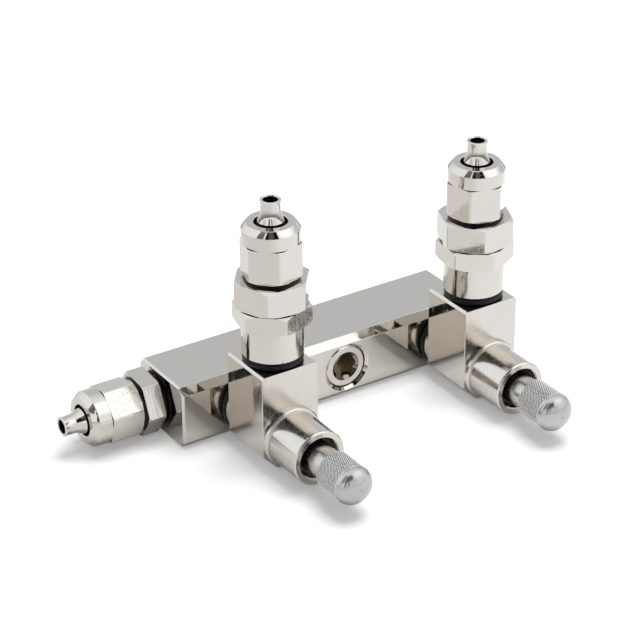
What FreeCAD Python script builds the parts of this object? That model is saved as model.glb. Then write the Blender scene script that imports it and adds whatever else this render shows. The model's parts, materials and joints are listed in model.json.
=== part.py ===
# Two-outlet gas manifold: a drilled square-edged block that feeds two needle
# valves, each with a check valve and a hose nut standing on top of it.
#
# Millimetres. +X runs along the block, +Y points to its back, +Z is up.
# The origin is the centre of the block's flat bottom face.
import FreeCAD, Part
import math
import os

from FreeCAD import Placement, Rotation, Vector

os.makedirs("parts", exist_ok=True)

# Fits
thread_clearance = 0.06     # radial room between a screwed stub and its port
running_clearance = 0.05    # radial room round a piece that turns or slides
face_clearance = 0.02       # room between two faces that seat on each other
overrun = 1.0               # how far a cutter or a fused root runs past a face

# Manifold block
block_length = 71.6
block_depth = 17.6
block_height = 13.8
long_edge_chamfer = 1.45
end_edge_chamfer = 0.4
first_port_x = 15.0         # left end of the block to the first front port
port_spacing = 24.55
port_count = 3
gallery_from_front = 11.5
gallery_radius = 3.0
gallery_past_last_port = 3.0
passage_radius = 2.0

# Screwed ports, all of one size
port_radius = 4.87
port_depth = 6.2
port_mouth_radius = 5.4
stub_end_gap = 0.4          # from a stub's end to the bottom of its port
stub_radius = port_radius - thread_clearance
seal_neck_radius = 4.5      # plain neck that carries a sealing ring
seal_fit = 0.05
ring_edge_radius = 0.7
ring_edge_share = 0.45      # the most of a ring's thickness that one rounded edge takes

# Port plug
plug_recess = 0.5
plug_edge_chamfer = 0.4
plug_socket_flats = 5.0
plug_socket_depth = 3.2
plug_entry_radius = 3.25

# Valve nipple, between block and valve body
nipple_seal_thickness = 1.65
nipple_seal_radius = 6.16
nipple_collar_radius = 6.0
nipple_collar_thickness = 2.0
nipple_bore_radius = 2.0
nipple_edge_chamfer = 0.15

# Valve body
body_width = 13.0
body_depth = 13.0
body_top_z = 21.8
body_below_axis = 6.5
body_top_chamfer = 0.46
body_bottom_chamfer = 3.4
body_face_chamfer = 0.15
outlet_from_back = 6.7
back_port_depth = 3.9
seat_thickness = 1.3
seat_radius = 0.9
chamber_radius = 2.6
chamber_length = 3.7
outlet_bore_radius = 1.3
top_port_depth = 5.0
barrel_step_radius = 6.46
barrel_step_length = 1.2
barrel_radius = 5.85
barrel_length = 10.55
barrel_edge_chamfer = 0.25
knob_bore_radius = 4.36
gland_radius = 3.6
stem_seal_length = 1.6
bush_slot_width = 1.0
bush_slot_depth = 0.9
bush_shoulder_gap = 0.4     # gland bore left free in front of the bush

# Needle and knob, drawn with the valve closed
needle_tip_radius = 0.25
needle_tip_length = 1.2     # part of the cone that reaches into the seat
needle_cone_length = 1.3    # the rest of the cone, in the chamber
stem_radius = 1.5
spindle_radius = 1.95
spindle_start_in_bush = 0.75
spigot_length = 7.0
knob_to_bush_gap = 0.6
knob_neck_radius = 3.35
knurl_radius = 4.1
knurl_from_barrel = 3.9
knurl_length = 6.1
knurl_edge = 0.3
knob_nose_radius = 3.6
knob_tip_radius = 1.5
needle_travel = 2.5         # from closed to wide open
spindle_engaged = 1.75      # spindle left in the bush when wide open
left_needle_open = 1.0      # how far each valve stands open at rest
right_needle_open = 0.5

# Check valve
check_flats = 14.0
hex_corner_cut = 0.85       # how far the corners of a hexagon are turned back
half_corner = math.radians(30)
check_seal_thickness = 1.65
check_seal_radius = 6.15
check_barrel_radius = 6.25
check_barrel_length = 6.85
check_barrel_chamfer = 0.2
lower_hex_height = 3.9
upper_hex_height = 5.6
hex_joint_gap = 0.2
check_inlet_radius = 1.4
check_seat_height = 1.9     # above the top face of the valve body
check_chamber_radius = 3.3
cap_stub_radius = 4.34
cap_seal_thickness = 0.66
poppet_disc_thickness = 1.0
poppet_flat_count = 3
poppet_flat_distance = 2.75
poppet_stem_radius = 1.0
poppet_stem_gap = 1.0       # from the stem's end to the cap, with the poppet shut
poppet_pip_reach = 0.6      # how deep the pip sits in its washer
poppet_pip_radius = 0.9
poppet_seal_radius = 2.5
poppet_seal_thickness = 0.8
poppet_lift = 1.5
spring_coil_radius = 1.75
spring_wire_radius = 0.2
spring_climbs = 3           # sloping half turns, each between two level ones
spring_spare = 0.52         # left above the packed coils at full lift

# Hose end: thread, post and barb that the hose nut closes on
hose_thread_radius = 4.88
hose_thread_chamfer = 0.5
hose_bore_radius = 1.5
post_radius = 1.95
barb_undercut_z = 11.4      # heights above the face that carries the thread
barb_crest_z = 12.05
barb_straight_z = 13.9
barb_tip_z = 16.5
barb_crest_radius = 2.68
barb_radius = 2.0
barb_edge = 0.15

# Hose nut
nut_ring_thickness = 0.5
nut_ring_radius = 5.6
nut_flats = 11.0
nut_corner_radius = 6.2
nut_hex_height = 7.35
nut_band_radius = 5.85
nut_band_height = 2.75
nut_height = 11.35
nut_top_radius = 4.85
nut_hole_radius = 3.35
nut_thread_depth = 7.75
nut_cone_height = 1.9
nut_corner_cut = 0.55        # how far the corners are turned back at the foot
nut_band_root = 0.2         # depth of the band's root in the six flats
nut_travel = 6.0            # how far the nut unscrews
nut_thread_engaged = 0.96   # thread still held at the end of that

# Inlet connector, on the left end of the block
inlet_seal_thickness = 1.15
inlet_seal_radius = 5.6
inlet_flats = 12.0
inlet_hex_height = 3.85

# Which way a corner of each hexagon points, degrees from +X towards +Y
left_lower_hex_turn = 18.35
left_upper_hex_turn = -8.1
left_nut_turn = 15.0
right_lower_hex_turn = 24.5
right_upper_hex_turn = 8.7
right_nut_turn = -17.0
# The same on the inlet, from +Z towards +Y
inlet_hex_turn = 24.0
inlet_nut_turn = 43.9

# Places worked out from the sizes above
left_end_x = -block_length / 2
front_y = -block_depth / 2
axis_z = block_height / 2
port_xs = [left_end_x + first_port_x + port_spacing * i for i in range(port_count)]
gallery_y = front_y + gallery_from_front
body_back = nipple_seal_thickness + nipple_collar_thickness + face_clearance
body_front = body_back + body_depth
outlet_from_block = body_back + outlet_from_back
outlet_y = front_y - outlet_from_block
barrel_end = body_front + barrel_length
seat_back = body_back + back_port_depth
seat_front = seat_back + seat_thickness
chamber_end = seat_front + chamber_length
bush_start = chamber_end + stem_seal_length
bush_length = spindle_start_in_bush + needle_travel + spindle_engaged
bush_end = bush_start + bush_length
knob_bore_start = bush_end + bush_shoulder_gap
lower_hex_z = check_seal_thickness + check_barrel_length
cap_face_z = lower_hex_z + lower_hex_height + hex_joint_gap
hose_face_z = cap_face_z + upper_hex_height
poppet_disc_z = check_seat_height + 2 * face_clearance + poppet_seal_thickness
poppet_top_z = poppet_disc_z + poppet_disc_thickness
spring_turns = (2 * spring_climbs + 1) / 2
spring_packed_length = 2 * spring_wire_radius * (spring_turns + 1)
cap_stub_z = poppet_top_z + poppet_lift + spring_packed_length + spring_spare
cap_seal_z = cap_stub_z - cap_seal_thickness
nut_foot_z = nut_ring_thickness + 2 * face_clearance
hose_thread_length = nut_foot_z + nut_travel + nut_thread_engaged
stub_length = port_depth - stub_end_gap


def turned(points):
    """Solid of revolution about Z from (radius, height) points."""
    corners = [Vector(r, 0, z) for r, z in points]
    outline = Part.makePolygon(corners + corners[:1])
    return Part.Face(outline).revolve(Vector(0, 0, 0), Vector(0, 0, 1), 360)


def rod(radius, z0, z1):
    """Round bar about Z between two heights."""
    return Part.makeCylinder(radius, z1 - z0, Vector(0, 0, z0))


def tube(inner, outer, z0, z1):
    """Round sleeve about Z between two heights."""
    return turned([(inner, z0), (outer, z0), (outer, z1), (inner, z1)])


def hexagon(flats, z0, z1, turn=0.0):
    """Hexagonal bar about Z, one corner at the angle turn."""
    corner_radius = flats / 2 / math.cos(half_corner)
    angles = [math.radians(turn + 60 * i) for i in range(7)]
    corners = [Vector(corner_radius * math.cos(a), corner_radius * math.sin(a), z0) for a in angles]
    return Part.Face(Part.makePolygon(corners)).extrude(Vector(0, 0, z1 - z0))


def chamfered_hexagon(flats, z0, z1, turn):
    """Hexagonal bar with its corners turned back at both ends."""
    crest = flats / 2 / math.cos(half_corner)
    edge = crest - hex_corner_cut
    rise = hex_corner_cut * math.tan(half_corner)
    envelope = turned([(0, z0), (edge, z0), (crest, z0 + rise), (crest, z1 - rise), (edge, z1), (0, z1)])
    return hexagon(flats, z0, z1, turn).common(envelope)


def seal_ring(inner, outer, z0, z1):
    """Rubber ring whose outer edges are rounded."""
    radius = min(ring_edge_radius, ring_edge_share * (z1 - z0))
    ring = tube(inner, outer, z0, z1)
    rims = [e for e in ring.Edges if is_circle(e, outer)]
    return ring.makeFillet(radius, rims)


def is_circle(edge, radius):
    """True for a full circle of this radius."""
    if not isinstance(edge.Curve, Part.Circle):
        return False
    return abs(edge.Curve.Radius - radius) < 1e-6


def port(depth):
    """Tool that cuts a screwed port: mouth at height 0, running down."""
    flare = port_mouth_radius - port_radius
    return turned([(0, -depth), (port_radius, -depth), (port_radius, -flare),
                   (port_mouth_radius, 0), (0, 0)])


def on_front(x):
    """Place whose Z runs forward from the block's front face at a port."""
    return Placement(Vector(x, front_y, axis_z), Rotation(Vector(1, 0, 0), 90))


def on_body(x):
    """Place whose Z runs up from the top face of a valve body."""
    return Placement(Vector(x, outlet_y, body_top_z), Rotation())


def on_left_end():
    """Place whose Z runs left from the block's end face at the inlet."""
    return Placement(Vector(left_end_x, gallery_y, axis_z), Rotation(Vector(0, 1, 0), -90))


def placed(shape, place):
    """The shape moved to its place."""
    return shape.transformed(place.toMatrix())


def manifold_block():
    """Square-edged bar with a blind gallery, front ports and an end port."""
    corner = Vector(left_end_x, front_y, 0)
    bar = Part.makeBox(block_length, block_depth, block_height, corner)
    long_edges = [e for e in bar.Edges if abs(e.Length - block_length) < 1e-6]
    bar = bar.makeChamfer(long_edge_chamfer, long_edges)
    end_edges = [e for e in bar.Edges if e.Length < block_length - 1]
    bar = bar.makeChamfer(end_edge_chamfer, end_edges)
    gallery_length = port_xs[-1] + gallery_past_last_port - left_end_x
    bar = bar.cut(placed(rod(gallery_radius, -gallery_length, 0), on_left_end()))
    bar = bar.cut(placed(port(port_depth), on_left_end()))
    for x in port_xs:
        bar = bar.cut(placed(port(port_depth), on_front(x)))
        bar = bar.cut(placed(rod(passage_radius, -gallery_from_front, 0), on_front(x)))
    return bar


def port_plug():
    """Screwed plug with a hexagon socket, sunk in the middle port."""
    face = -plug_recess
    inner = -stub_length
    body = turned([(0, inner), (stub_radius - plug_edge_chamfer, inner),
                   (stub_radius, inner + plug_edge_chamfer), (stub_radius, face - plug_edge_chamfer),
                   (stub_radius - plug_edge_chamfer, face), (0, face)])
    socket_floor = face - plug_socket_depth
    body = body.cut(hexagon(plug_socket_flats, socket_floor, face))
    entry_depth = plug_entry_radius - plug_socket_flats / 2
    entry = turned([(0, face - entry_depth), (plug_socket_flats / 2, face - entry_depth),
                    (plug_entry_radius, face), (0, face)])
    return body.cut(entry)


def valve_nipple():
    """Screwed nipple: two stubs, a neck for the seal and a round collar."""
    collar_z = nipple_seal_thickness + face_clearance
    edge = nipple_edge_chamfer
    shank = turned([
        (nipple_bore_radius, -stub_length), (stub_radius, -stub_length),
        (stub_radius, 0), (seal_neck_radius, 0), (seal_neck_radius, collar_z),
        (nipple_collar_radius - edge, collar_z), (nipple_collar_radius, collar_z + edge),
        (nipple_collar_radius, body_back - edge), (nipple_collar_radius - edge, body_back),
        (stub_radius, body_back), (stub_radius, seat_back - stub_end_gap),
        (nipple_bore_radius, seat_back - stub_end_gap)])
    return shank


def nipple_seal():
    """Rubber ring squeezed between the block and the nipple's collar."""
    return seal_ring(seal_neck_radius + seal_fit, nipple_seal_radius,
                     face_clearance, nipple_seal_thickness)


def valve_body():
    """Square body with its turned barrel, bored for needle, seat and outlet."""
    half = body_width / 2
    top = body_top_z - axis_z
    low = -body_below_axis
    section = [(-half + body_bottom_chamfer, low), (half - body_bottom_chamfer, low),
               (half, low + body_bottom_chamfer), (half, top - body_top_chamfer),
               (half - body_top_chamfer, top), (-half + body_top_chamfer, top),
               (-half, top - body_top_chamfer), (-half, low + body_bottom_chamfer)]
    corners = [Vector(x, y, body_back) for x, y in section]
    outline = Part.makePolygon(corners + corners[:1])
    body = Part.Face(outline).extrude(Vector(0, 0, body_depth))
    rims = [e for e in body.Edges if abs(e.Vertexes[0].Z - e.Vertexes[1].Z) < 1e-6]
    body = body.makeChamfer(body_face_chamfer, rims)
    edge = barrel_edge_chamfer
    step_end = body_front + barrel_step_length
    barrel = turned([(0, body_front - overrun), (barrel_step_radius, body_front - overrun),
                     (barrel_step_radius, step_end - edge), (barrel_step_radius - edge, step_end),
                     (barrel_radius, step_end), (barrel_radius, barrel_end - edge),
                     (barrel_radius - edge, barrel_end), (0, barrel_end)])
    body = body.fuse(barrel)
    bores = turned([
        (0, body_back), (port_radius, body_back), (port_radius, seat_back), (seat_radius, seat_back),
        (seat_radius, seat_front), (chamber_radius, seat_front), (chamber_radius, chamber_end),
        (gland_radius, chamber_end), (gland_radius, knob_bore_start),
        (knob_bore_radius, knob_bore_start), (knob_bore_radius, barrel_end - edge),
        (knob_bore_radius + edge, barrel_end), (0, barrel_end)])
    body = body.cut(bores)
    upward = Placement(Vector(0, top, outlet_from_block), Rotation(Vector(1, 0, 0), -90))
    body = body.cut(placed(port(top_port_depth), upward))
    body = body.cut(placed(rod(outlet_bore_radius, -top, 0), upward))
    return body.removeSplitter()


def stem_seal():
    """Rubber ring round the stem, behind the gland bush."""
    return seal_ring(stem_radius + running_clearance, gland_radius - seal_fit,
                     chamber_end + face_clearance, bush_start - face_clearance)


def stem_bush():
    """Screwed gland bush that carries the spindle, with two driver slots."""
    bush = tube(spindle_radius + running_clearance, gland_radius - thread_clearance, bush_start, bush_end)
    slot = Part.makeBox(2 * gland_radius, bush_slot_width, bush_slot_depth,
                        Vector(-gland_radius, -bush_slot_width / 2, bush_end - bush_slot_depth))
    return bush.cut(slot)


def needle(opening):
    """Tapered needle, stem and spindle, standing open by this much."""
    cone_rate = (seat_radius - running_clearance - needle_tip_radius) / needle_tip_length
    cone_end = seat_front + needle_cone_length
    cone_radius = seat_radius - running_clearance + cone_rate * needle_cone_length
    spindle_start = bush_start + spindle_start_in_bush
    spindle_end = bush_end + knob_to_bush_gap - running_clearance
    spigot_end = spindle_end + spigot_length
    shape = turned([
        (0, seat_front - needle_tip_length), (needle_tip_radius, seat_front - needle_tip_length),
        (cone_radius, cone_end), (stem_radius, cone_end), (stem_radius, spindle_start),
        (spindle_radius, spindle_start), (spindle_radius, spindle_end),
        (stem_radius, spindle_end), (stem_radius, spigot_end), (0, spigot_end)])
    return shape.translated(Vector(0, 0, opening))


def knob(opening):
    """Finger knob: neck inside the barrel, knurled grip and rounded nose."""
    neck_start = bush_end + knob_to_bush_gap
    grip_start = barrel_end + knurl_from_barrel
    grip_end = grip_start + knurl_length
    centre_radius = knurl_radius - knob_nose_radius
    tip_z = grip_end + math.sqrt(knob_nose_radius ** 2 - (knob_tip_radius - centre_radius) ** 2)
    half = math.acos((knob_tip_radius - centre_radius) / knob_nose_radius) / 2
    mid = (centre_radius + knob_nose_radius * math.cos(half), grip_end + knob_nose_radius * math.sin(half))
    path = [(0, neck_start), (knob_neck_radius, neck_start), (knob_neck_radius, grip_start),
            (knurl_radius - knurl_edge, grip_start), (knurl_radius, grip_start + knurl_edge),
            (knurl_radius, grip_end)]
    points = [Vector(r, 0, z) for r, z in path]
    edges = [Part.makeLine(a, b) for a, b in zip(points, points[1:])]
    tip = Vector(knob_tip_radius, 0, tip_z)
    edges.append(Part.Arc(points[-1], Vector(mid[0], 0, mid[1]), tip).toShape())
    edges.append(Part.makeLine(tip, Vector(0, 0, tip_z)))
    edges.append(Part.makeLine(Vector(0, 0, tip_z), points[0]))
    shape = Part.Face(Part.Wire(edges)).revolve(Vector(0, 0, 0), Vector(0, 0, 1), 360)
    bore_end = neck_start + spigot_length + running_clearance
    shape = shape.cut(rod(stem_radius + running_clearance, neck_start - overrun, bore_end))
    return shape.translated(Vector(0, 0, opening))


def check_seal():
    """Rubber ring between the valve body and the check valve."""
    return seal_ring(seal_neck_radius + seal_fit, check_seal_radius, face_clearance, check_seal_thickness)


def check_body(turn):
    """Lower half of the check valve: stub, neck, barrel, hexagon and seat."""
    edge = check_barrel_chamfer
    low = stub_end_gap - top_port_depth
    foot = check_seal_thickness + face_clearance
    top = lower_hex_z + lower_hex_height
    shape = turned([
        (0, low), (stub_radius - edge, low), (stub_radius, low + edge), (stub_radius, 0),
        (seal_neck_radius, 0), (seal_neck_radius, foot), (check_barrel_radius - edge, foot),
        (check_barrel_radius, foot + edge), (check_barrel_radius, lower_hex_z + edge),
        (0, lower_hex_z + edge)])
    shape = shape.fuse(chamfered_hexagon(check_flats, lower_hex_z, top, turn))
    bores = turned([
        (0, low), (check_inlet_radius, low), (check_inlet_radius, check_seat_height),
        (check_chamber_radius, check_seat_height), (check_chamber_radius, cap_seal_z),
        (cap_stub_radius + thread_clearance, cap_seal_z), (cap_stub_radius + thread_clearance, top),
        (0, top)])
    return shape.cut(bores).removeSplitter()


def hose_end():
    """Thread, post and barb above height 0, with the bore left to cut."""
    edge = hose_thread_chamfer
    return turned([
        (0, -overrun), (hose_thread_radius, -overrun), (hose_thread_radius, hose_thread_length - edge),
        (hose_thread_radius - edge, hose_thread_length), (post_radius, hose_thread_length),
        (post_radius, barb_undercut_z), (barb_crest_radius, barb_crest_z),
        (barb_radius, barb_straight_z), (barb_radius, barb_tip_z - barb_edge),
        (barb_radius - barb_edge, barb_tip_z), (0, barb_tip_z)])


def check_cap(turn):
    """Upper half of the check valve: stub, hexagon and hose end."""
    edge = check_barrel_chamfer
    shape = turned([
        (0, cap_stub_z), (cap_stub_radius - edge, cap_stub_z), (cap_stub_radius, cap_stub_z + edge),
        (cap_stub_radius, cap_face_z), (0, cap_face_z)])
    shape = shape.fuse(chamfered_hexagon(check_flats, cap_face_z, hose_face_z, turn))
    shape = shape.fuse(hose_end().translated(Vector(0, 0, hose_face_z)))
    bore = rod(hose_bore_radius, cap_stub_z, hose_face_z + barb_tip_z)
    return shape.cut(bore).removeSplitter()


def cap_seal():
    """Flat rubber ring where the two halves of the check valve screw up."""
    return tube(check_chamber_radius + seal_fit, cap_stub_radius,
                cap_seal_z + face_clearance, cap_stub_z - face_clearance)


def check_poppet():
    """Poppet with flats that let the gas past, a guide stem and a pip."""
    disc_radius = check_chamber_radius - 2 * running_clearance
    disc = rod(disc_radius, poppet_disc_z, poppet_top_z)
    for i in range(poppet_flat_count):
        window = Part.makeBox(disc_radius, 2 * disc_radius, poppet_disc_thickness,
                              Vector(poppet_flat_distance, -disc_radius, poppet_disc_z))
        window.rotate(Vector(0, 0, 0), Vector(0, 0, 1), 360 / poppet_flat_count * i)
        disc = disc.cut(window)
    stem = rod(poppet_stem_radius, poppet_disc_z, cap_stub_z - poppet_stem_gap)
    pip = rod(poppet_pip_radius, poppet_disc_z - poppet_pip_reach, poppet_top_z)
    return disc.fuse(stem).fuse(pip).removeSplitter()


def poppet_seal():
    """Rubber washer under the poppet that closes on the seat."""
    z0 = check_seat_height + face_clearance
    return tube(poppet_pip_radius + seal_fit, poppet_seal_radius, z0, z0 + poppet_seal_thickness)


def check_spring():
    """Coil spring between the poppet and the cap's stub.

    Level and sloping half turns follow each other and share their tangents.
    """
    z = poppet_top_z + face_clearance + spring_wire_radius
    top = cap_stub_z - face_clearance - spring_wire_radius
    rise = (top - z) / spring_climbs
    start = Vector(spring_coil_radius, 0, z)
    section = Part.Wire(Part.makeCircle(spring_wire_radius, start, Vector(0, 1, 0)))
    halves = []
    for i in range(2 * spring_climbs + 1):
        side = 1 - 2 * (i % 2)
        step = rise * (i % 2)
        reach = math.hypot(spring_coil_radius, step / 2)
        end = Vector(-side * spring_coil_radius, 0, z + step)
        halves.append(Part.Arc(start, Vector(0, side * reach, z + step / 2), end).toShape())
        start = end
        z += step
    return Part.Wire(halves).makePipeShell([section], True, True)


def nut_ring():
    """Black ring that rides under the hose nut."""
    return tube(hose_thread_radius + running_clearance, nut_ring_radius,
                face_clearance, face_clearance + nut_ring_thickness)


def hose_nut(turn):
    """Hose nut: six flats on a round bar, a plain band and a steep chamfer."""
    foot = nut_foot_z
    hex_top = foot + nut_hex_height
    band_top = hex_top + nut_band_height
    top = foot + nut_height
    rise = nut_corner_cut * math.tan(half_corner)
    grip = turned([(0, foot), (nut_corner_radius - nut_corner_cut, foot), (nut_corner_radius, foot + rise),
                   (nut_corner_radius, hex_top), (0, hex_top)])
    grip = grip.common(hexagon(nut_flats, foot, hex_top, turn))
    root = nut_band_root
    nose = turned([(0, hex_top - root), (nut_band_radius - root, hex_top - root),
                   (nut_band_radius - root, hex_top), (nut_band_radius, hex_top),
                   (nut_band_radius, band_top), (nut_top_radius, top), (0, top)])
    thread_radius = hose_thread_radius + running_clearance
    bore = turned([(0, foot), (thread_radius, foot), (thread_radius, foot + nut_thread_depth),
                   (nut_hole_radius, foot + nut_thread_depth + nut_cone_height),
                   (nut_hole_radius, top), (0, top)])
    return grip.fuse(nose).cut(bore).removeSplitter()


def inlet_connector(turn):
    """Inlet fitting: stub, neck for the seal, thin hexagon and hose end."""
    hex_z = inlet_seal_thickness + face_clearance
    face = hex_z + inlet_hex_height
    shape = turned([
        (0, -stub_length), (stub_radius, -stub_length), (stub_radius, 0),
        (seal_neck_radius, 0), (seal_neck_radius, hex_z), (0, hex_z)])
    shape = shape.fuse(chamfered_hexagon(inlet_flats, hex_z, face, turn))
    shape = shape.fuse(hose_end().translated(Vector(0, 0, face)))
    bore = rod(hose_bore_radius, -stub_length, face + barb_tip_z)
    return shape.cut(bore).removeSplitter()


def inlet_seal():
    """Rubber ring between the block's end and the inlet hexagon."""
    return seal_ring(seal_neck_radius + seal_fit, inlet_seal_radius, face_clearance, inlet_seal_thickness)


def save(name, shape, place):
    """Write one piece at its place."""
    solid = placed(shape, place)
    if not solid.isValid():
        raise ValueError(name + " is not a sound solid")
    if len(solid.Solids) != 1:
        raise ValueError(name + " is not one solid")
    solid.exportStep("parts/" + name + ".step")


def save_valve(side, x, opening):
    """Needle valve on one front port."""
    front = on_front(x)
    save(side + "_valve_nipple", valve_nipple(), front)
    save(side + "_nipple_seal", nipple_seal(), front)
    save(side + "_valve_body", valve_body(), front)
    save(side + "_stem_seal", stem_seal(), front)
    save(side + "_stem_bush", stem_bush(), front)
    save(side + "_needle", needle(opening), front)
    save(side + "_knob", knob(opening), front)


def save_check_valve(side, x, lower_turn, upper_turn, nut_turn):
    """Check valve and hose nut on top of one valve body."""
    top = on_body(x)
    save(side + "_check_seal", check_seal(), top)
    save(side + "_check_body", check_body(lower_turn), top)
    save(side + "_check_cap", check_cap(upper_turn), top)
    save(side + "_cap_seal", cap_seal(), top)
    save(side + "_check_poppet", check_poppet(), top)
    save(side + "_poppet_seal", poppet_seal(), top)
    save(side + "_check_spring", check_spring(), top)
    hose = top.multiply(Placement(Vector(0, 0, hose_face_z), Rotation()))
    save(side + "_nut_ring", nut_ring(), hose)
    save(side + "_outlet_nut", hose_nut(nut_turn), hose)


def save_inlet():
    """Inlet fitting and its hose nut on the left end of the block."""
    end = on_left_end()
    face = inlet_seal_thickness + face_clearance + inlet_hex_height
    hose = end.multiply(Placement(Vector(0, 0, face), Rotation()))
    save("inlet_seal", inlet_seal(), end)
    save("inlet_connector", inlet_connector(inlet_hex_turn), end)
    save("inlet_nut_ring", nut_ring(), hose)
    save("inlet_nut", hose_nut(inlet_nut_turn), hose)


save("manifold_block", manifold_block(), Placement())
save("port_plug", port_plug(), on_front(port_xs[1]))
save_inlet()
save_valve("left", port_xs[0], left_needle_open)
save_valve("right", port_xs[-1], right_needle_open)
save_check_valve("left", port_xs[0], left_lower_hex_turn, left_upper_hex_turn, left_nut_turn)
save_check_valve("right", port_xs[-1], right_lower_hex_turn, right_upper_hex_turn, right_nut_turn)
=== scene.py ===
"""Looks of the two-outlet gas manifold, laid out as an add-on.

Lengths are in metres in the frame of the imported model: +X runs along the block,
+Y points to its back, +Z is up, and the origin is the centre of its underside.
"""
import json
import math

import bpy
from bpy.props import FloatProperty, FloatVectorProperty, IntProperty, PointerProperty
from bpy.types import Operator, Panel, PropertyGroup
from mathutils import Matrix, Vector

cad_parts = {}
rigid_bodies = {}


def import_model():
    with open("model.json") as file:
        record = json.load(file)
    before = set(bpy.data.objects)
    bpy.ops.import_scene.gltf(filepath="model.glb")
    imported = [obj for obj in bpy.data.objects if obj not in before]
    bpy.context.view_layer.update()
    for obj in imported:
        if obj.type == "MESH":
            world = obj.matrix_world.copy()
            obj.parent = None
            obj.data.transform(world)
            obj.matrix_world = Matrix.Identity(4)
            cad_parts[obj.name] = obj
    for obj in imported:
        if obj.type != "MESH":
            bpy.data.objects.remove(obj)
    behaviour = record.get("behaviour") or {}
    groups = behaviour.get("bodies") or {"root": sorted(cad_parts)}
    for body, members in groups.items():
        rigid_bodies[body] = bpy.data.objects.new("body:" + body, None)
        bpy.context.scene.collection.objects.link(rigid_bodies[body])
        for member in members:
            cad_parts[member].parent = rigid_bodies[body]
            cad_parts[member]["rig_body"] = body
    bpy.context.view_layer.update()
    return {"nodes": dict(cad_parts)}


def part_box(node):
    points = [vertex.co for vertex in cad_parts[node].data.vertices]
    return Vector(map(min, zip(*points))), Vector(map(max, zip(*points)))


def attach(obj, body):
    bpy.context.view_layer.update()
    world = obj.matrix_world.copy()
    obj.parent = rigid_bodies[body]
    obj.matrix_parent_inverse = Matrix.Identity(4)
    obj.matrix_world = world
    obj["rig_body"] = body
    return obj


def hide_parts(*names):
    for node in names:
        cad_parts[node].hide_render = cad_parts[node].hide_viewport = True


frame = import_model()

bl_info = {
    "name": "Gas manifold",
    "version": (1, 0, 0),
    "blender": (4, 5, 0),
    "location": "3D View > Sidebar > Manifold",
    "description": "Models and finishes the pieces of a two-outlet gas manifold",
    "category": "Add Mesh",
}

MM = 0.001
SIDES = ("left", "right")
HALF_CORNER = math.radians(30)
SAME_PLACE = 1e-7
ABOUT = 0.02 * MM      # how near two radii are that count as one
OVERRUN = MM           # how far a cutter or a fused root runs past a face

# Corners of round shapes: small bores, most pieces, large barrels, and what cuts a hexagon
SMALL_ROUND, ROUND, LARGE_ROUND, HEXAGON_ROUND = 64, 96, 128, 144

# A thread's profile, as shares of its pitch: foot of the flank, start and end of the crest, and
# foot of the other flank
THREAD_PROFILE = (0.12, 0.46, 0.58, 0.92)


def linear(hex_colour):
    """Linear RGBA of an sRGB colour written as hex."""
    levels = [int(hex_colour[i:i + 2], 16) / 255 for i in (1, 3, 5)]
    straight = [c / 12.92 if c <= 0.04045 else ((c + 0.055) / 1.055) ** 2.4 for c in levels]
    return (*straight, 1.0)


def length(name, description, millimetres):
    """Property for a size, with its default in millimetres."""
    return FloatProperty(name=name, description=description, default=millimetres * MM,
                         min=0.0, unit="LENGTH", precision=5)


def turn(name, description, degrees):
    """Property for an angle, with its default in degrees."""
    return FloatProperty(name=name, description=description, default=math.radians(degrees),
                         subtype="ANGLE", unit="ROTATION")


def colour(name, description, hex_colour):
    """Property for a colour, with its default as sRGB hex."""
    return FloatVectorProperty(name=name, description=description, default=linear(hex_colour),
                               size=4, min=0.0, max=1.0, subtype="COLOR")


class BlockSizes(PropertyGroup):
    """Sizes of the block, its ports, plug and nipples."""

    long_chamfer: length("Long edge chamfer", "Chamfer along the block", 1.45)
    end_chamfer: length("End edge chamfer", "Chamfer round both ends of the block", 0.4)
    edge_round: length("Edge rounding", "What polishing takes off an edge", 0.07)
    port_radius: length("Port radius", "Thread radius of every port", 4.87)
    port_mouth: length("Port mouth", "Radius of the flare at a port's mouth", 5.4)
    port_depth: length("Port depth", "Depth of the ports in the block", 6.2)
    stub_radius: length("Stub radius", "Radius of the screwed stubs", 4.81)
    neck_radius: length("Neck radius", "Plain neck that carries a sealing ring", 4.5)
    plug_socket: length("Socket flats", "Width across the flats of the plug's socket", 5.0)
    plug_socket_depth: length("Socket depth", "Depth of the plug's socket", 3.2)
    plug_entry: length("Socket entry", "Radius of the cone that leads into the socket", 3.25)
    plug_edge: length("Plug edge", "Chamfer on the plug's face", 0.4)
    nipple_edge: length("Collar edge", "Chamfer on the nipple's collar", 0.15)
    nipple_bore: length("Nipple bore", "Radius of the passage through a nipple", 2.0)


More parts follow.
